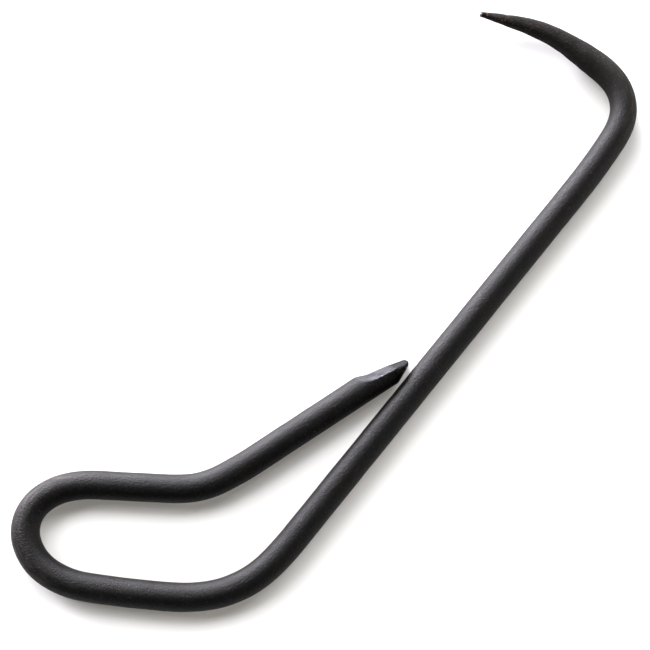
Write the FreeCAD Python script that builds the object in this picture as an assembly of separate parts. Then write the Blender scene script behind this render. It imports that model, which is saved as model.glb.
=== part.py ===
import FreeCAD, Part
import math
import os

# Hive tool: one 10 mm steel bar with a drawn hook point, a straight shank and an open finger loop.
# The tool lies flat. X runs along the shank towards the hook, Y towards the side that the hook and the
# loop stand on, and Z is up from the surface the tool rests on. The origin is the middle of its
# footprint. Millimetres and degrees.

BAR_DIAMETER = 10.0
BAR_RADIUS = BAR_DIAMETER / 2


def line(length):
    return {"length": length, "turn": 0.0}


def arc(radius, turn):
    """A bend in the flat: to the left with a positive turn, to the right with a negative one."""
    return {"radius": radius, "turn": turn}


# The bar's centreline from its bevelled end to the tip of its hook. Each bend is a few arcs, tighter in
# the middle, as a bar bent by hand over a former is.
STRETCHES = {
    "bevelled_end": [line(21.7)],
    "return_bar": [line(42.0)],
    "knee_bend": [arc(124.0, -6.5), arc(29.0, -24.0), arc(70.0, -6.0)],
    "upper_grip_bar": [line(24.0)],
    "loop_bend": [arc(39.5, 15.0), arc(21.0, 28.0), arc(13.5, 70.0), arc(20.0, 38.0), arc(33.5, 23.0)],
    "lower_grip_bar": [arc(340.0, 5.0)],
    "heel_bend": [arc(65.0, 9.5), arc(38.0, 38.0), arc(93.0, 7.5)],
    "shank": [line(163.2)],
    "hook_bend": [arc(235.0, 6.0), arc(29.5, 12.0), arc(18.0, 59.0), arc(33.0, 13.5)],
    "hook_point": [arc(163.0, 4.1), arc(57.7, 22.1), line(13.5)],
}

# The drawn point, as (share of its length, width in the flat, thickness), from the bend to the tip. Its
# upper side stays level with the top of the bar.
POINT_SECTIONS = [
    (0.0, BAR_DIAMETER, BAR_DIAMETER),
    (0.06, 9.6, 9.7),
    (0.16, 8.9, 9.2),
    (0.34, 7.5, 7.8),
    (0.54, 6.5, 6.5),
    (0.73, 4.9, 4.9),
    (0.88, 3.2, 3.4),
    (1.0, 1.6, 2.2),
]

# The bevelled end's ground faces, as (distance back from the end, distance from the bar's axis, slope,
# tilt). A face's slope is its angle to the axis, and its tilt turns it from facing sideways to facing up.
# The long face starts steeply and then runs flatter to the end.
LONG_FACE = [(17.9, 4.7, 31.0, 30.0), (13.0, 2.3, 9.5, 28.0)]
END_FACE = [(6.75, -5.0, 27.0, 1.0)]
CUT_SIZE = 60.0  # a cutting block much larger than the bar
LENGTH_TOLERANCE = 1e-6


def direction(heading):
    angle = math.radians(heading)
    return FreeCAD.Vector(math.cos(angle), math.sin(angle), 0)


def left_of(heading):
    return direction(heading + 90)


def centreline_edge(start, heading, piece):
    """One straight or arc of the centreline, with the point and heading where it ends."""
    if piece["turn"] == 0:
        end = start + direction(heading) * piece["length"]
        return Part.LineSegment(start, end).toShape(), end, heading
    turn = piece["turn"]
    side = math.copysign(1, turn)
    centre = start + left_of(heading) * (side * piece["radius"])
    middle = centre - left_of(heading + turn / 2) * (side * piece["radius"])
    end = centre - left_of(heading + turn) * (side * piece["radius"])
    return Part.Arc(start, middle, end).toShape(), end, heading + turn


def heading_at_bevelled_end():
    """The first heading, chosen so that the shank comes out along +X."""
    heading = 0.0
    for name, pieces in STRETCHES.items():
        if name == "shank":
            break
        heading += sum(piece["turn"] for piece in pieces)
    return -heading


def walk_the_bar():
    """Each stretch's centreline wire, with the point and heading where it starts."""
    point = FreeCAD.Vector(0, 0, BAR_RADIUS)
    heading = heading_at_bevelled_end()
    walked = {}
    for name, pieces in STRETCHES.items():
        start, start_heading = point, heading
        edges = []
        for piece in pieces:
            edge, point, heading = centreline_edge(point, heading, piece)
            edges.append(edge)
        walked[name] = {"wire": Part.Wire(edges), "start": start, "heading": start_heading}
    return walked


def round_bar(stretch):
    """The plain bar along one stretch."""
    circle = Part.Circle(stretch["start"], direction(stretch["heading"]), BAR_RADIUS)
    profile = Part.Wire(circle.toShape())
    return stretch["wire"].makePipeShell([profile], True, True)


def point_on(wire, share):
    """A place and heading on a wire, by share of its length."""
    remaining = share * wire.Length
    for edge in wire.OrderedEdges:
        if remaining <= edge.Length + LENGTH_TOLERANCE:
            parameter = edge.getParameterByLength(min(remaining, edge.Length))
            tangent = edge.tangentAt(parameter)
            return edge.valueAt(parameter), math.degrees(math.atan2(tangent.y, tangent.x))
        remaining -= edge.Length
    raise ValueError("share of the wire is over 1")


def oval_section(place, heading, width, thickness):
    """A cross-section of the drawn point. A unit circle is stretched, so that all its sections start
    at the same side and the loft doesn't twist."""
    circle = Part.Circle(FreeCAD.Vector(), FreeCAD.Vector(1, 0, 0), 1.0).toShape()
    stretch = FreeCAD.Matrix()
    stretch.scale(1.0, width / 2, thickness / 2)
    oval = circle.transformGeometry(stretch)
    oval.rotate(FreeCAD.Vector(), FreeCAD.Vector(0, 0, 1), heading)
    oval.translate(place)
    return Part.Wire(oval)


def drawn_point(stretch):
    sections = []
    for share, width, thickness in POINT_SECTIONS:
        place, heading = point_on(stretch["wire"], share)
        place.z = BAR_DIAMETER - thickness / 2
        sections.append(oval_section(place, heading, width, thickness))
    return Part.makeLoft(sections, True, False)


def ground_end(stretch):
    """The bar's free end, with its long ground face and its short end face."""
    back = direction(stretch["heading"])
    away_from_shank = left_of(stretch["heading"] + 180)
    up = FreeCAD.Vector(0, 0, 1)
    end = round_bar(stretch)
    for planes, side in ((LONG_FACE, 1), (END_FACE, -1)):
        blocks = []
        for distance, offset, slope, tilt in planes:
            slope = math.radians(slope)
            tilt = math.radians(tilt)
            across = away_from_shank * (side * math.cos(tilt)) + up * math.sin(tilt)
            normal = across * math.cos(slope) - back * math.sin(slope)
            place = stretch["start"] + back * distance + away_from_shank * offset
            blocks.append(Part.makeCylinder(CUT_SIZE, CUT_SIZE, place, normal))
        ground_off = blocks[0]
        for block in blocks[1:]:
            ground_off = ground_off.common(block)
        end = end.cut(ground_off)
    return end


def build_parts():
    walked = walk_the_bar()
    special = {"bevelled_end": ground_end, "hook_point": drawn_point}
    parts = {}
    for name, stretch in walked.items():
        parts[name] = special.get(name, round_bar)(stretch)
    box = Part.Compound(list(parts.values())).optimalBoundingBox(False)
    to_origin = FreeCAD.Vector(-box.Center.x, -box.Center.y, 0)
    for shape in parts.values():
        shape.translate(to_origin)
    return parts


def main():
    os.makedirs("parts", exist_ok=True)
    for name, shape in build_parts().items():
        box = shape.optimalBoundingBox(False)
        print(
            f"{name:15s} valid {shape.isValid()} solids {len(shape.Solids)} volume {shape.Volume:8.1f}"
            f"  x {box.XMin:7.2f} {box.XMax:7.2f}  y {box.YMin:7.2f} {box.YMax:7.2f}"
            f"  z {box.ZMin:5.2f} {box.ZMax:5.2f}"
        )
        shape.exportStep(f"parts/{name}.step")


main()
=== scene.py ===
import math

import bmesh
import bpy
import numpy as np
from mathutils import Matrix, Vector


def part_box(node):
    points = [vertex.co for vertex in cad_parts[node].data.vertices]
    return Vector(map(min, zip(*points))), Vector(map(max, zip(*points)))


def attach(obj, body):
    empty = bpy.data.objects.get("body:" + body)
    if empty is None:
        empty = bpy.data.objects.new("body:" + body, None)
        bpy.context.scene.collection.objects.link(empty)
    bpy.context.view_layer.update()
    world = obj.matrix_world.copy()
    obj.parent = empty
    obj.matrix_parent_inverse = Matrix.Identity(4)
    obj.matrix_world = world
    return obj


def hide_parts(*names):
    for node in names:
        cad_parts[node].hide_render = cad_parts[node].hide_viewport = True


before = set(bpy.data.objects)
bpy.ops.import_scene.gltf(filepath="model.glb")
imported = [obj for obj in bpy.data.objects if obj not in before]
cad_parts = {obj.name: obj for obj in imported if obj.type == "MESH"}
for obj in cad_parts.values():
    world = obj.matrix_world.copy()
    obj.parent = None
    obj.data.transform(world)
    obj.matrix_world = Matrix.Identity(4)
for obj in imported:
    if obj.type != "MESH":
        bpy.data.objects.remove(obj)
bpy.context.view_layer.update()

# The looks of a hive tool: one blackened steel bar, bent and forged. Lengths along and across the bar
# are in millimetres, and become metres where a mesh is made. The bar is one surface of rings, cut into
# a piece for each stretch, so neighbouring pieces share their last ring exactly.

MM = 0.001

# ---------------------------------------------------------------- what the frame gives

shank_low, shank_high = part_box("shank")
BAR_DIAMETER = (shank_high.z - shank_low.z) / MM
BAR_RADIUS = BAR_DIAMETER / 2
SHANK_START = np.array([shank_low.x, (shank_low.y + shank_high.y) / 2]) / MM
SHANK_LENGTH = (shank_high.x - shank_low.x) / MM
FLOOR = shank_low.z / MM
AXIS_HEIGHT = FLOOR + BAR_RADIUS
TOP = FLOOR + BAR_DIAMETER

# ---------------------------------------------------------------- the bar's centreline


def line(length):
    return length, 0.0


def arc(radius, turn):
    """The length and turn of a bend, to the left with a positive turn."""
    return radius * abs(math.radians(turn)), turn


# From the bevelled end to the hook's tip, as the CAD bar is bent.
STRETCHES = {
    "bevelled_end": [line(21.7)],
    "return_bar": [line(42.0)],
    "knee_bend": [arc(124.0, -6.5), arc(29.0, -24.0), arc(70.0, -6.0)],
    "upper_grip_bar": [line(24.0)],
    "loop_bend": [arc(39.5, 15.0), arc(21.0, 28.0), arc(13.5, 70.0), arc(20.0, 38.0), arc(33.5, 23.0)],
    "lower_grip_bar": [arc(340.0, 5.0)],
    "heel_bend": [arc(65.0, 9.5), arc(38.0, 38.0), arc(93.0, 7.5)],
    "shank": [line(SHANK_LENGTH)],
    "hook_bend": [arc(235.0, 6.0), arc(29.5, 12.0), arc(18.0, 59.0), arc(33.0, 13.5)],
    "hook_point": [arc(163.0, 4.1), arc(57.7, 22.1), line(13.5)],
}
LENGTHS = {name: sum(length for length, turn in parts) for name, parts in STRETCHES.items()}
STARTS = dict(zip(LENGTHS, np.cumsum([0.0] + list(LENGTHS.values()))))
TOTAL = sum(LENGTHS.values())
POINT_START = STARTS["hook_point"]
PATH_STEP = 0.1
BEND_EASE = 1.6  # how far each change of curvature is spread along the bar
SPREAD_CUTOFF = 4  # the smoothing's weights end at this many times its reach


def spread(values, reach):
    """Values at PATH_STEP along the bar, smoothed over about reach to each side."""
    count = int(SPREAD_CUTOFF * reach / PATH_STEP)
    weights = np.exp(-0.5 * (np.arange(-count, count + 1) * PATH_STEP / reach) ** 2)
    padded = np.pad(values, count, mode="edge")
    return np.convolve(padded, weights / weights.sum(), mode="valid")


def centreline():
    """Distances along the bar, with the place and heading there. The shank runs along +X."""
    along = np.arange(0.0, TOTAL + PATH_STEP, PATH_STEP)
    ends = np.cumsum([length for parts in STRETCHES.values() for length, turn in parts])
    turned = np.cumsum([turn for parts in STRETCHES.values() for length, turn in parts])
    heading = np.interp(along, np.r_[0.0, ends], np.r_[0.0, turned])
    heading -= np.interp(STARTS["shank"] + SHANK_LENGTH / 2, along, heading)
    heading = np.radians(spread(heading, BEND_EASE))
    steps = np.stack([np.cos(heading), np.sin(heading)], 1) * PATH_STEP
    middles = (steps[1:] + steps[:-1]) / 2
    places = np.r_[[[0.0, 0.0]], np.cumsum(middles, 0)]
    at_shank = np.array([np.interp(STARTS["shank"], along, places[:, i]) for i in (0, 1)])
    return along, places - at_shank + SHANK_START, heading


ALONG, PLACES, HEADINGS = centreline()


def on_path(s):
    """Place, heading direction and left-hand direction at distances s."""
    place = np.stack([np.interp(s, ALONG, PLACES[:, i]) for i in (0, 1)], 1)
    heading = np.interp(s, ALONG, HEADINGS)
    ahead = np.stack([np.cos(heading), np.sin(heading)], 1)
    left = np.stack([-np.sin(heading), np.cos(heading)], 1)
    return place, ahead, left


# ---------------------------------------------------------------- the bar's cross-section

# The drawn point, from the bend to the tip: (share of its length, width, thickness, squareness). A
# squareness of 2 is an oval, and more is boxier, as a hammered section is.
POINT_SECTIONS = [
    (0.0, BAR_DIAMETER, BAR_DIAMETER, 2.0),
    (0.06, 9.6, 9.8, 2.1),
    (0.16, 8.75, 9.2, 2.3),
    (0.25, 7.75, 8.5, 2.5),
    (0.34, 7.0, 7.7, 2.6),
    (0.54, 6.1, 6.4, 2.7),
    (0.73, 4.6, 4.8, 2.6),
    (0.88, 3.0, 3.3, 2.5),
    (1.0, 1.6, 2.2, 2.4),
]
POINT_EASE = 1.2
BEND_PINCH = 0.028  # how much narrower the bar is pulled in the hook's bend
PINCH_PLACE = 0.72  # where it is narrowest, as a share of that bend
PINCH_REACH = 9.0


def section_columns():
    """Half width, half thickness and squareness along the bar, at PATH_STEP."""
    share, width, thickness, square = np.array(POINT_SECTIONS).T
    at = (ALONG - POINT_START) / LENGTHS["hook_point"]
    columns = []
    for values in (width / 2, thickness / 2, square):
        columns.append(spread(np.interp(at, share, values), POINT_EASE))
    narrowest = STARTS["hook_bend"] + PINCH_PLACE * LENGTHS["hook_bend"]
    pinch = BEND_PINCH * np.exp(-(((ALONG - narrowest) / PINCH_REACH) ** 2))
    columns[0] = columns[0] * (1 - pinch)
    return columns


HALF_WIDTH, HALF_THICKNESS, SQUARENESS = section_columns()
SIDES = 256
ANGLES = np.arange(SIDES) * 2 * math.pi / SIDES


def plain_rings(s):
    """Points of the bar's rings at distances s, as an array (ring, side, xyz)."""
    place, ahead, left = on_path(s)
    half_width = np.interp(s, ALONG, HALF_WIDTH)[:, None]
    half_thickness = np.interp(s, ALONG, HALF_THICKNESS)[:, None]
    power = 2 / np.interp(s, ALONG, SQUARENESS)[:, None]
    across = np.sign(np.cos(ANGLES)) * np.abs(np.cos(ANGLES)) ** power * half_width
    height = np.sign(np.sin(ANGLES)) * np.abs(np.sin(ANGLES)) ** power * half_thickness
    middle_height = np.where(s[:, None] > POINT_START, TOP - half_thickness, AXIS_HEIGHT)
    flat = place[:, None, :] + left[:, None, :] * across[..., None]
    return np.concatenate([flat, (height + middle_height)[..., None]], 2)


# ---------------------------------------------------------------- the ground end

# The bevelled end's ground faces, as (distance back from the end, distance from the axis, slope to the
# axis in degrees). The long face is hollow, because it starts steeply and then runs flatter. The end
# face is on the shank's side.
LONG_FACE_START = (17.9, 4.1, 31.0)
LONG_FACE_RUN = (13.0, 2.08, 8.8)
LONG_FACE_TILTS = (21.0, 31.0)  # how far it faces up, at its end and at its start
END_FACE = (6.75, 5.0, 27.0)
END_FACE_TILT = math.radians(1.0)
EDGE_ROUNDING = (1.7, 0.28)  # near the end, and further back
EDGE_CHANGE = (1.5, 6.0)  # the distances back between which it goes from the one to the other
END_REACH = 0.75  # how far the blunt end stands past the stretch's own end
END_ROUNDING = 1.1
HOLLOW_ROUNDING = 1.0
CORE_TIP = np.array([1.5, -0.45, -1.6])  # a place well inside the end, as (back, out, up)
CAP_RINGS = 26
GROUND_SPACING = 0.12
RAY_LENGTH = 3 * BAR_RADIUS
HALVINGS = 36


def smooth_max(a, b, reach):
    """The larger of two values, with the change between them rounded over this reach."""
    mix = np.clip(0.5 + 0.5 * (a - b) / reach, 0, 1)
    return b + (a - b) * mix + reach * mix * (1 - mix)


def face_height(face, back):
    """How far a ground face is from the axis, at a distance back from the bar's end."""
    distance, height, slope = face
    return height + (back - distance) * math.tan(math.radians(slope))


def ground_solid(back, out, up):
    """Below zero inside the ground end. back runs from the end along the bar, out is away from the
    shank, and up is above the axis."""
    bar = np.hypot(out, up) - BAR_RADIUS
    tilt = np.radians(np.interp(back, (0.0, LONG_FACE_START[0]), LONG_FACE_TILTS))
    long_face = out * np.cos(tilt) + up * np.sin(tilt)
    starting, running = face_height(LONG_FACE_START, back), face_height(LONG_FACE_RUN, back)
    long_face = long_face - smooth_max(starting, running, HOLLOW_ROUNDING)
    end_face = up * math.sin(END_FACE_TILT) - out * math.cos(END_FACE_TILT) - face_height(END_FACE, back)
    rounding = np.interp(back, EDGE_CHANGE, EDGE_ROUNDING)
    solid = smooth_max(bar, long_face, rounding)
    solid = smooth_max(solid, end_face, rounding)
    return smooth_max(solid, -(back + END_REACH), END_ROUNDING)


def core_and_rays():
    """Places on a core line that stays inside the ground end, with a ring of rays out from each one, as
    (back, out, up). At the core's tip the rays also lean over towards the bar's very end."""
    length = LENGTHS["bevelled_end"]
    backs = np.linspace(CORE_TIP[0], length, int((length - CORE_TIP[0]) / GROUND_SPACING))
    share = (length - backs) / (length - CORE_TIP[0])
    core = np.stack([backs, CORE_TIP[1] * share, CORE_TIP[2] * share], 1)
    cap_lean = np.linspace(math.pi / 2, 0, CAP_RINGS, endpoint=False)[1:]
    core = np.r_[np.tile(CORE_TIP, (len(cap_lean), 1)), core]
    lean = np.r_[cap_lean, np.zeros(len(backs))][:, None]
    rays = np.stack([
        -np.sin(lean) * np.ones(SIDES),
        -np.cos(ANGLES) * np.cos(lean),
        np.sin(ANGLES) * np.cos(lean),
    ], 2)
    return core, rays


def places_on_surface(core, rays):
    """Where each ray leaves the metal, found by halving."""
    near = np.zeros(rays.shape[:2])
    far = np.full(rays.shape[:2], RAY_LENGTH)
    for _ in range(HALVINGS):
        middle = (near + far) / 2
        at = core[:, None, :] + rays * middle[..., None]
        inside = ground_solid(at[..., 0], at[..., 1], at[..., 2]) < 0
        near = np.where(inside, middle, near)
        far = np.where(inside, far, middle)
    return core[:, None, :] + rays * near[..., None]


def ground_rings():
    """Rings from the bar's very end to the end of its ground stretch, how far along the bar each one
    is, and how deep below the round bar's surface each point is."""
    core, rays = core_and_rays()
    at = places_on_surface(core, rays)
    place, ahead, left = on_path(np.array([0.0]))
    flat = place[0] + ahead[0] * at[..., :1] - left[0] * at[..., 1:2]
    rings = np.concatenate([flat, AXIS_HEIGHT + at[..., 2:]], 2)
    depth = BAR_RADIUS - np.hypot(at[..., 1], at[..., 2])
    return rings, core[:, 0], depth


# ---------------------------------------------------------------- the whole surface

WAVE_COUNT = 48
RING_SPACING = 0.8
TIP_SPACING = 0.25
TIP_ROUNDING = 0.35
TIP_DRAWN_IN = 0.55  # how much smaller the rounding leaves the flat end
TIP_CAP_RINGS = 8
TIP_SHRINKING = (0.7, 0.4, 0.15)  # the sizes of the rings within the flat end


def rounded_tip(last):
    """Rings drawn in from the point's last ring over its blunt end."""
    centre = last.mean(0)
    ahead = np.append(on_path(np.array([TOTAL]))[1][0], 0.0)
    rings = []
    for turn in np.linspace(0, math.pi / 2, TIP_CAP_RINGS + 1)[1:]:
        size = 1 - (1 - math.cos(turn)) * TIP_DRAWN_IN
        rings.append(centre + (last - centre) * size + ahead * TIP_ROUNDING * math.sin(turn))
    end_centre = centre + ahead * TIP_ROUNDING
    flat_end = rings[-1]
    for shrink in TIP_SHRINKING:
        rings.append(end_centre + (flat_end - end_centre) * shrink)
    return np.array(rings)


def waves(seed, along, shortest, longest):
    """Seeded random waves over the bar's surface, at distances along it and all round it."""
    random = np.random.default_rng(seed)
    total = np.zeros((len(along), SIDES))
    for _ in range(WAVE_COUNT):
        wavelength = random.uniform(shortest, longest)
        course = random.uniform(0, math.pi)
        around = round(2 * math.pi * BAR_RADIUS / wavelength * math.sin(course))
        phase = random.uniform(0, 2 * math.pi)
        lengthwise = 2 * math.pi * along * math.cos(course) / wavelength
        total += np.cos(lengthwise[:, None] + around * ANGLES + phase)
    return total / math.sqrt(WAVE_COUNT / 2)


def surface_normals(rings):
    """Outward normals of a grid of rings."""
    around = np.roll(rings, -1, 1) - np.roll(rings, 1, 1)
    onward = np.gradient(rings, axis=0)
    normals = np.cross(around, onward)
    return normals / np.maximum(np.linalg.norm(normals, axis=2, keepdims=True), 1e-9)


def whole_bar():
    """Every ring of the bar, how far along each one is, how deep each point is ground, and each
    stretch's first and last ring."""
    ground_end, stations, ground_depth = ground_rings()
    along = list(stations)
    grids = [ground_end]
    spans = {"bevelled_end": (0, len(along) - 1)}
    for name in list(STRETCHES)[1:]:
        spacing = TIP_SPACING if name == "hook_point" else RING_SPACING
        count = int(math.ceil(LENGTHS[name] / spacing))
        stations = STARTS[name] + np.linspace(0.0, LENGTHS[name], count + 1)[1:]
        first = len(along) - 1
        grids.append(plain_rings(stations))
        along += list(stations)
        spans[name] = (first, len(along) - 1)
    tip = rounded_tip(grids[-1][-1])
    grids.append(tip)
    along += [TOTAL] * len(tip)
    spans["hook_point"] = (spans["hook_point"][0], len(along) - 1)
    depth = np.zeros((len(along), SIDES))
    depth[:len(ground_depth)] = ground_depth
    return np.concatenate(grids), np.array(along), depth, spans


# Unevenness, as (seed, height, shortest wave, longest wave).
ROLLING_WAVES = (11, 0.018, 9.0, 30.0)  # of the plain bar
FORGING_WAVES = (12, 0.05, 5.0, 12.0)  # of the hammered point
ROLLING_FADE = (2.0, 20.0)  # it starts this far from the bevelled end, and is full this much later
FORGING_FADES = (8.0, 6.0)  # the lengths over which it starts at the bend, and ends at the tip


def with_unevenness(rings, along):
    """The rings moved in and out a little, with the normals of the uneven surface."""
    normals = surface_normals(rings)
    rolled = np.clip((along - ROLLING_FADE[0]) / ROLLING_FADE[1], 0, 1)
    forged = np.clip((along - POINT_START) / FORGING_FADES[0], 0, 1)
    forged = forged * np.clip((TOTAL - along) / FORGING_FADES[1], 0, 1)
    height = np.zeros((len(along), SIDES))
    for (seed, size, shortest, longest), share in ((ROLLING_WAVES, rolled), (FORGING_WAVES, forged)):
        height += waves(seed, along, shortest, longest) * (size * share)[:, None]
    rings = rings + normals * height[..., None]
    return rings, surface_normals(rings)


# ---------------------------------------------------------------- where the finish differs

# Each pair is where a finish starts and where it is full, or where it starts to fade and where it is
# gone. Reaches are distances from the end that the name says, the tip or the bevelled end.
SCUFFED_CURVATURE = (0.012, 0.045)
SCUFFED_HEIGHT = (-0.1, 0.6)  # above the axis, as a share of the radius
SCUFFED_SIDE = (1.2, 0.1)  # how quickly scuffs come in over the bar's top, and how soon
RUSTY_TIP_REACH = (6.0, 36.0)
BROWNED_TIP_REACH = (38.0, 88.0)
# Bare metal at the tip and along the ground face's edge, coloured pale: partly real bare steel, partly a
# painted glint.
BARE_AND_GLINT_TIP_REACH = (0.0, 0.9)
GROUND_DEPTH = (0.05, 0.5)  # how deep below the round bar's surface the grinding went
EDGE_DEPTH = 0.15  # the depth and width of the bright line along the ground face's edge, bare metal and a painted glint
EDGE_WIDTH = 0.07
EDGE_START = (5.0, 8.0)  # distances from the bevelled end
EDGE_FINISH = (13.0, 16.0)
EDGE_BARENESS_AND_GLINT = 0.3
ROUGH_END_REACH = (4.3, 6.8)
ROUGH_SIDE = (-0.6, 0.2)  # on the upper and outer side of the bevelled end


def ramp(values, start, end):
    """0 before start and 1 after end, smoothly."""
    share = np.clip((values - start) / (end - start), 0, 1)
    return share * share * (3 - 2 * share)


def scuffs_mask(along):
    """How worn the outside of each bend in the loop and the hook is."""
    curvature = np.interp(along, ALONG, np.gradient(HEADINGS, PATH_STEP))[:, None]
    quickness, headstart = SCUFFED_SIDE
    outside = np.clip(-np.sign(curvature) * np.cos(ANGLES) * quickness + headstart, 0, 1)
    upper = ramp(np.sin(ANGLES), *SCUFFED_HEIGHT)
    in_loop = (along > STARTS["loop_bend"]) & (along < STARTS["lower_grip_bar"])
    in_hook = along > STARTS["hook_bend"]
    return ramp(np.abs(curvature), *SCUFFED_CURVATURE) * outside * upper * (in_loop | in_hook)[:, None]


def bare_glint_edge_mask(along, depth):
    """The thin bright line along the middle of the ground face's edge: bare metal, and a painted glint.
    """
    line_across = np.exp(-(((depth - EDGE_DEPTH) / EDGE_WIDTH) ** 2))
    line_along = ramp(along, *EDGE_START) * (1 - ramp(along, *EDGE_FINISH))
    return line_across * line_along[:, None] * EDGE_BARENESS_AND_GLINT


def finish_masks(along, depth):
    """How worn, rusty, browned, ground and rough the metal is at each point of each ring, and where it
    is bare with a painted glint.
    """
    to_tip = (TOTAL - along)[:, None] * np.ones(SIDES)
    near_end = 1 - ramp(along, *ROUGH_END_REACH)[:, None]
    return {
        "worn": scuffs_mask(along),
        "rusty": 1 - ramp(to_tip, *RUSTY_TIP_REACH),
        "browned": 1 - ramp(to_tip, *BROWNED_TIP_REACH),
        "ground": ramp(depth, *GROUND_DEPTH),
        "rough": near_end * ramp(np.sin(ANGLES) - np.cos(ANGLES), *ROUGH_SIDE),
        "bare_and_glint": np.maximum(bare_glint_edge_mask(along, depth), 1 - ramp(to_tip, *BARE_AND_GLINT_TIP_REACH)),
    }


# ---------------------------------------------------------------- meshes


def tube_faces(ring_count):
    """Faces of a tube of rings whose last two corners are its ends' middles: the sides' quads, and the
    triangles of the first and the last cap."""
    ring = np.arange(ring_count - 1)[:, None] * SIDES
    side = np.arange(SIDES)
    beside = (side + 1) % SIDES
    quads = np.stack([ring + side, ring + beside, ring + SIDES + beside, ring + SIDES + side], 2)
    first_middle = np.full(SIDES, ring_count * SIDES)
    last_ring = (ring_count - 1) * SIDES
    first_cap = np.stack([first_middle, beside, side], 1)
    last_cap = np.stack([first_middle + 1, last_ring + side, last_ring + beside], 1)
    return quads.reshape(-1, 4), first_cap, last_cap


def facing(triangle):
    """The unit normal of a triangle's corners."""
    normal = np.cross(triangle[1] - triangle[0], triangle[2] - triangle[0])
    return normal / np.linalg.norm(normal)


def on_straight_bar(along):
    """Where each point would be if the bar were straight, as (along, across, up)."""
    grid = np.empty((len(along), SIDES, 3), np.float32)
    grid[..., 0] = along[:, None]
    grid[..., 1] = np.cos(ANGLES) * BAR_RADIUS
    grid[..., 2] = np.sin(ANGLES) * BAR_RADIUS
    return grid


def make_piece(name, rings, normals, along, masks):
    """A closed mesh from rings of points, with a flat cap at each end. Its sides keep the whole bar's
    normals, so no seam shows where two pieces meet."""
    middles = np.array([rings[0].mean(0), rings[-1].mean(0)])
    corners = np.r_[rings.reshape(-1, 3), middles] * MM
    quads, first_cap, last_cap = tube_faces(len(rings))
    mesh = bpy.data.meshes.new(name)
    mesh.from_pydata(corners.tolist(), [], quads.tolist() + first_cap.tolist() + last_cap.tolist())
    mesh.update()
    mesh.shade_smooth()
    side_normals = normals.reshape(-1, 3)[quads.ravel()]
    cap_normals = [facing(corners[first_cap[0]]), facing(corners[last_cap[0]])]
    if name.startswith("bevelled_end"):
        cap_normals[0] = normals[0].mean(0)
    cap_normals = np.repeat(cap_normals, 3 * SIDES, 0)
    mesh.normals_split_custom_set(np.r_[side_normals, cap_normals].tolist())
    for mask_name, mask in masks.items():
        values = np.r_[mask.ravel(), mask[0, 0], mask[-1, 0]].astype(np.float32)
        mesh.attributes.new(mask_name, "FLOAT", "POINT").data.foreach_set("value", values)
    straight = on_straight_bar(along)
    places = np.r_[straight.ravel(), straight[0, 0], straight[-1, 0]]
    mesh.attributes.new("straightened", "FLOAT_VECTOR", "POINT").data.foreach_set("vector", places)
    piece = bpy.data.objects.new(name, mesh)
    bpy.context.scene.collection.objects.link(piece)
    return piece


# ---------------------------------------------------------------- material


class Nodes:
    """A material's node tree, with a short way to add and join nodes."""

    def __init__(self, material):
        material.use_nodes = True
        self.tree = material.node_tree
        self.shader = self.tree.nodes["Principled BSDF"]
        in_metres = self.tree.nodes.new("ShaderNodeTexCoord").outputs["Object"]
        self.millimetres = self.scaled(in_metres, (1 / MM, 1 / MM, 1 / MM))

    def join(self, socket, value):
        if isinstance(value, bpy.types.NodeSocket):
            self.tree.links.new(value, socket)
        else:
            socket.default_value = value

    def attribute(self, name, output="Fac"):
        """A value that the mesh holds at each of its points."""
        node = self.tree.nodes.new("ShaderNodeAttribute")
        node.attribute_name = name
        return node.outputs[output]

    def scaled(self, vector, factors):
        node = self.tree.nodes.new("ShaderNodeVectorMath")
        node.operation = "MULTIPLY"
        self.join(node.inputs[0], vector)
        self.join(node.inputs[1], factors)
        return node.outputs["Vector"]

    def noise(self, size, detail, shift):
        """Noise with lumps of about this size in millimetres. The shift picks one noise from many."""
        return self.noise_at(self.millimetres, 1 / size, detail, shift)

    def streaks(self, length, width, detail, shift):
        """Noise with lumps drawn out along the bar."""
        straightened = self.attribute("straightened", "Vector")
        in_streaks = self.scaled(straightened, (1 / length, 1 / width, 1 / width))
        return self.noise_at(in_streaks, 1.0, detail, shift)

    def noise_at(self, places, scale, detail, shift):
        node = self.tree.nodes.new("ShaderNodeTexNoise")
        node.noise_dimensions = "4D"
        self.join(node.inputs["Vector"], places)
        node.inputs["W"].default_value = shift
        node.inputs["Scale"].default_value = scale
        node.inputs["Detail"].default_value = detail
        return node.outputs["Fac"]

    def math(self, operation, a, b):
        node = self.tree.nodes.new("ShaderNodeMath")
        node.operation = operation
        self.join(node.inputs[0], a)
        self.join(node.inputs[1], b)
        return node.outputs["Value"]

    def add(self, a, b):
        return self.math("ADD", a, b)

    def times(self, a, b):
        return self.math("MULTIPLY", a, b)

    def ramp(self, value, levels, results=(0.0, 1.0)):
        """A smooth step from one result to the other, as a value goes from one level to the other."""
        node = self.tree.nodes.new("ShaderNodeMapRange")
        node.interpolation_type = "SMOOTHSTEP"
        self.join(node.inputs["Value"], value)
        node.inputs["From Min"].default_value, node.inputs["From Max"].default_value = levels
        node.inputs["To Min"].default_value, node.inputs["To Max"].default_value = results
        return node.outputs["Result"]

    def mix(self, share, a, b):
        node = self.tree.nodes.new("ShaderNodeMix")
        node.data_type = "RGBA"
        self.join(node.inputs["Factor"], share)
        self.join(node.inputs["A"], a)
        self.join(node.inputs["B"], b)
        return node.outputs["Result"]


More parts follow.
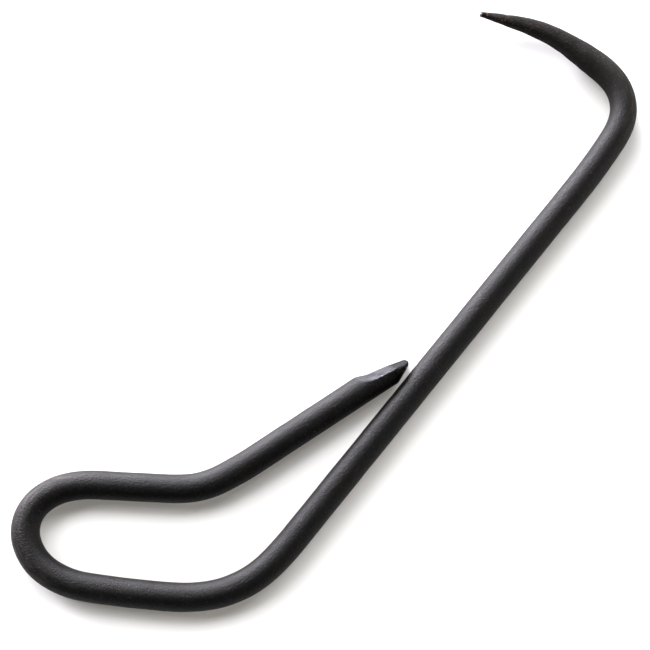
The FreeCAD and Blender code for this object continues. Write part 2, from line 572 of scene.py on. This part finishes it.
BLACK_OXIDE = (0.0018, 0.0016, 0.0015, 1)
BROWNED_OXIDE = (0.0045, 0.0040, 0.0033, 1)
PALE_GRAIN = (0.012, 0.0108, 0.0112, 1)
OLIVE_GRAIN = (0.044, 0.037, 0.021, 1)
VIOLET_GRAIN = (0.022, 0.019, 0.019, 1)
WORN_BROWN = (0.026, 0.020, 0.017, 1)
RUST_ORANGE = (0.14, 0.045, 0.020, 1)
RUST_YELLOW = (0.10, 0.075, 0.035, 1)
# Pale bare steel at the tip and the ground edge, which also paints a glint there.
BARE_STEEL_GLINT = (0.42, 0.42, 0.44, 1)
GROUND_GREY = (0.026, 0.026, 0.031, 1)
PALE_FLECK = (0.028, 0.026, 0.026, 1)

# Noise, as (size of its lumps, detail, shift).
GRAIN = (0.58, 3.0, 0.0)
PATCHES = (9.0, 3.0, 4.0)
OLIVE_AND_VIOLET = (2.5, 3.0, 31.0)
FLECKS = (0.8, 1.0, 29.0)
FRECKLES = (0.75, 1.0, 11.0)
ORANGE_AND_YELLOW = (1.6, 1.0, 15.0)
BARE_GLINT_SPOTS = (0.8, 2.0, 19.0)
LUMPS = (1.5, 2.0, 23.0)

# Streaks, as (length, width, detail, shift).
SCUFFS = (5.0, 0.8, 2.0, 7.0)
MILKY_STREAKS = (3.0, 0.7, 2.0, 17.0)
GRINDING_MARKS = (2.5, 0.8, 2.0, 37.0)

# The noise levels between which each one comes in.
SPECKLE_LEVELS = (0.52, 0.7)
PATCH_LEVELS = (0.3, 0.7)
OLIVE_LEVELS = (0.42, 0.58)
SCUFF_LEVELS = (0.47, 0.66)
FLECK_LEVELS = (0.71, 0.77)
FRECKLE_LEVELS = (0.65, 0.71)
YELLOW_LEVELS = (0.45, 0.6)
MILKY_LEVELS = (0.46, 0.58)
BARE_GLINT_LEVELS = (0.38, 0.62)
GRAIN_LEVELS = (0.3, 0.7)

SPECKLE_IN_PATCHES = (0.35, 1.0)  # how much of the speckle shows between patches, and in them
GREY_WHERE_ROUGH = (1.0, 0.15)  # how much of the ground grey shows where it isn't rough, and where it is
PLAIN_ROUGHNESS = 0.55
GRAIN_ROUGHNESS = (-0.06, 0.06)
PATCH_ROUGHNESS = (-0.03, 0.03)
FRECKLE_ROUGHNESS = 0.2
BROWNED_ROUGHNESS = 0.3
ROUGH_ROUGHNESS = 0.3
SPECULAR_LEVEL = 0.12

# The bump's heights. The grain's is in millimetres, and the others are shares of it.
GRAIN_HEIGHT = 0.29
LUMP_HEIGHT = 0.15
ROUGH_LUMP_HEIGHT = 4.5
GRINDING_HEIGHT = 1.5


def steel_colour(nodes, grain, patches, freckles):
    """Fine pale speckle on near black, browner on the hook, with each mark laid over the last."""
    speckle = nodes.ramp(grain, SPECKLE_LEVELS)
    speckle = nodes.times(speckle, nodes.ramp(patches, PATCH_LEVELS, SPECKLE_IN_PATCHES))
    browned = nodes.attribute("browned")
    dark = nodes.mix(browned, BLACK_OXIDE, BROWNED_OXIDE)
    olive = nodes.ramp(nodes.noise(*OLIVE_AND_VIOLET), OLIVE_LEVELS)
    pale = nodes.mix(browned, PALE_GRAIN, nodes.mix(olive, VIOLET_GRAIN, OLIVE_GRAIN))
    colour = nodes.mix(speckle, dark, pale)

    scuffs = nodes.times(nodes.attribute("worn"), nodes.ramp(nodes.streaks(*SCUFFS), SCUFF_LEVELS))
    colour = nodes.mix(scuffs, colour, WORN_BROWN)

    colour = nodes.mix(nodes.ramp(nodes.noise(*FLECKS), FLECK_LEVELS), colour, PALE_FLECK)

    yellow = nodes.ramp(nodes.noise(*ORANGE_AND_YELLOW), YELLOW_LEVELS)
    colour = nodes.mix(freckles, colour, nodes.mix(yellow, RUST_ORANGE, RUST_YELLOW))

    milky = nodes.ramp(nodes.streaks(*MILKY_STREAKS), MILKY_LEVELS)
    milky = nodes.times(nodes.attribute("ground"), milky)
    unspoilt = nodes.ramp(nodes.attribute("rough"), (0.0, 1.0), GREY_WHERE_ROUGH)
    colour = nodes.mix(nodes.times(milky, unspoilt), colour, GROUND_GREY)

    # Bare steel at the tip and the ground edge, pale enough to paint a glint there as well.
    bare_and_glint = nodes.times(nodes.attribute("bare_and_glint"), nodes.ramp(nodes.noise(*BARE_GLINT_SPOTS), BARE_GLINT_LEVELS))
    return nodes.mix(bare_and_glint, colour, BARE_STEEL_GLINT)


def steel_roughness(nodes, grain, patches, freckles):
    """Satin, and duller in rust freckles, on the browned hook and at the rough ground end."""
    roughness = nodes.add(nodes.ramp(grain, GRAIN_LEVELS, GRAIN_ROUGHNESS), PLAIN_ROUGHNESS)
    roughness = nodes.add(roughness, nodes.ramp(patches, PATCH_LEVELS, PATCH_ROUGHNESS))
    roughness = nodes.add(roughness, nodes.times(freckles, FRECKLE_ROUGHNESS))
    roughness = nodes.add(roughness, nodes.times(nodes.attribute("browned"), BROWNED_ROUGHNESS))
    return nodes.add(roughness, nodes.times(nodes.attribute("rough"), ROUGH_ROUGHNESS))


def steel_bump(nodes, grain):
    """The grain's relief, with low lumps everywhere, high ones at the rough end, and grinding marks."""
    lump_height = nodes.add(nodes.times(nodes.attribute("rough"), ROUGH_LUMP_HEIGHT), LUMP_HEIGHT)
    lumps = nodes.times(nodes.noise(*LUMPS), lump_height)
    grinding_height = nodes.times(nodes.attribute("ground"), GRINDING_HEIGHT)
    grinding = nodes.times(nodes.streaks(*GRINDING_MARKS), grinding_height)
    bump = nodes.tree.nodes.new("ShaderNodeBump")
    nodes.join(bump.inputs["Height"], nodes.add(nodes.add(grain, lumps), grinding))
    bump.inputs["Strength"].default_value = 1.0
    bump.inputs["Distance"].default_value = GRAIN_HEIGHT * MM
    return bump.outputs["Normal"]


def blackened_steel():
    """Oil-blackened forge scale: near black and finely speckled, browner on the hook, with worn
    streaks outside the bends, rust freckles near the point, and bare metal with a painted glint."""
    material = bpy.data.materials.new("blackened_steel")
    nodes = Nodes(material)
    grain = nodes.noise(*GRAIN)
    patches = nodes.noise(*PATCHES)
    freckles = nodes.ramp(nodes.noise(*FRECKLES), FRECKLE_LEVELS)
    freckles = nodes.times(nodes.attribute("rusty"), freckles)
    nodes.join(nodes.shader.inputs["Base Color"], steel_colour(nodes, grain, patches, freckles))
    nodes.join(nodes.shader.inputs["Roughness"], steel_roughness(nodes, grain, patches, freckles))
    nodes.join(nodes.shader.inputs["Normal"], steel_bump(nodes, grain))
    nodes.shader.inputs["Specular IOR Level"].default_value = SPECULAR_LEVEL
    return material


# ---------------------------------------------------------------- stage, light and camera

LENS = 90
SENSOR = 36
CLIP = (0.01, 50)  # in metres
SHANK_IN_VIEW = math.radians(51.07)  # the shank's direction, to the left of the picture's own right
VIEW_TILT = math.radians(13.43)  # how far the camera leans from looking straight down
VIEW_DISTANCE = 579.0  # from the camera to the place in the middle of the picture
VIEW_CENTRE = Vector((-6.17, 0.8, AXIS_HEIGHT))
PICTURE_RIGHT = Vector((math.cos(SHANK_IN_VIEW), -math.sin(SHANK_IN_VIEW), 0))
PICTURE_UP = Vector((math.sin(SHANK_IN_VIEW), math.cos(SHANK_IN_VIEW), 0))


def make_camera():
    data = bpy.data.cameras.new("camera")
    data.lens = LENS
    data.sensor_width = SENSOR
    data.clip_start, data.clip_end = CLIP
    camera = bpy.data.objects.new("camera", data)
    bpy.context.scene.collection.objects.link(camera)
    forward = PICTURE_UP * math.sin(VIEW_TILT) - Vector((0, 0, math.cos(VIEW_TILT)))
    up = PICTURE_RIGHT.cross(forward)
    camera.rotation_mode = "QUATERNION"
    camera.rotation_quaternion = Matrix((PICTURE_RIGHT, up, -forward)).transposed().to_quaternion()
    camera.location = (VIEW_CENTRE - forward * VIEW_DISTANCE) * MM
    bpy.context.scene.camera = camera


WHITE = (1, 1, 1)
WINDOW_VIOLET = (0.99, 0.965, 1.06)
ROOM_WARM = (1.04, 0.98, 0.94)
FLOOR_GREY = (0.55, 0.55, 0.55, 1)
FLOOR_GLOW = (1.0, 0.95, 0.88, 1)
FLOOR_GLOW_STRENGTH = 0.2
FLOOR_ROUGHNESS = 0.9
FLOOR_REACH = 6  # in metres, from its middle to its sides
FLOOR_SQUARES = 8

# Suns, as (azimuth in the picture, elevation, strength, softness, colour), with angles in degrees. The
# low ones give the sheen along the bar's side and the high ones give the shadows.
SUNS = {
    "low_window_right": (104, 2.5, 25.0, 22, WINDOW_VIOLET),
    "low_window_left": (138, 2.5, 22.0, 22, WINDOW_VIOLET),
    "window_right": (54, 43, 2.1, 30, WHITE),
    "window_middle": (108, 50, 2.7, 30, WHITE),
    "window_left": (151, 43, 2.6, 30, WHITE),
    "low_right": (5, 8, 2.2, 30, ROOM_WARM),
}


def light_direction(azimuth, elevation):
    """A direction from the object, by its azimuth in the picture and its height above the floor."""
    azimuth, elevation = math.radians(azimuth), math.radians(elevation)
    flat = PICTURE_RIGHT * math.cos(azimuth) + PICTURE_UP * math.sin(azimuth)
    return flat * math.cos(elevation) + Vector((0, 0, math.sin(elevation)))


def make_sun(name, azimuth, elevation, strength, softness, colour):
    data = bpy.data.lights.new(name, "SUN")
    data.energy = strength
    data.color = colour
    data.angle = math.radians(softness)
    sun = bpy.data.objects.new(name, data)
    sun.rotation_mode = "QUATERNION"
    sun.rotation_quaternion = light_direction(azimuth, elevation).to_track_quat("Z", "Y")
    bpy.context.scene.collection.objects.link(sun)


def make_world():
    """A room that looks white past the floor's edge, and lights nothing itself."""
    world = bpy.data.worlds.new("room")
    bpy.context.scene.world = world
    world.use_nodes = True
    background = world.node_tree.nodes["Background"]
    background.inputs["Color"].default_value = (*WHITE, 1)
    light_path = world.node_tree.nodes.new("ShaderNodeLightPath")
    world.node_tree.links.new(light_path.outputs["Is Camera Ray"], background.inputs["Strength"])


def make_floor():
    """A pale floor under the tool. Its faint glow softens the shadows."""
    mesh = bpy.data.meshes.new("floor")
    grid = bmesh.new()
    bmesh.ops.create_grid(grid, x_segments=FLOOR_SQUARES, y_segments=FLOOR_SQUARES, size=FLOOR_REACH)
    grid.to_mesh(mesh)
    grid.free()
    floor = bpy.data.objects.new("floor", mesh)
    floor.location.z = FLOOR * MM
    material = bpy.data.materials.new("pale_floor")
    material.use_nodes = True
    shader = material.node_tree.nodes["Principled BSDF"]
    shader.inputs["Base Color"].default_value = FLOOR_GREY
    shader.inputs["Roughness"].default_value = FLOOR_ROUGHNESS
    shader.inputs["Specular IOR Level"].default_value = 0.0
    shader.inputs["Emission Color"].default_value = FLOOR_GLOW
    shader.inputs["Emission Strength"].default_value = FLOOR_GLOW_STRENGTH
    mesh.materials.append(material)
    bpy.context.scene.collection.objects.link(floor)


# ---------------------------------------------------------------- put it together

bpy.context.scene.view_settings.view_transform = "Standard"
make_camera()
make_floor()
make_world()
for name, sun in SUNS.items():
    make_sun(name, *sun)
steel = blackened_steel()
bar, along, depth, spans = whole_bar()
bar, bar_normals = with_unevenness(bar, along)
finish = finish_masks(along, depth)
for name, (first, last) in spans.items():
    span = slice(first, last + 1)
    masks = {mask_name: mask[span] for mask_name, mask in finish.items()}
    piece = make_piece(f"{name}_surface", bar[span], bar_normals[span], along[span], masks)
    piece.data.materials.append(steel)
    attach(piece, "root")
    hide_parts(name)
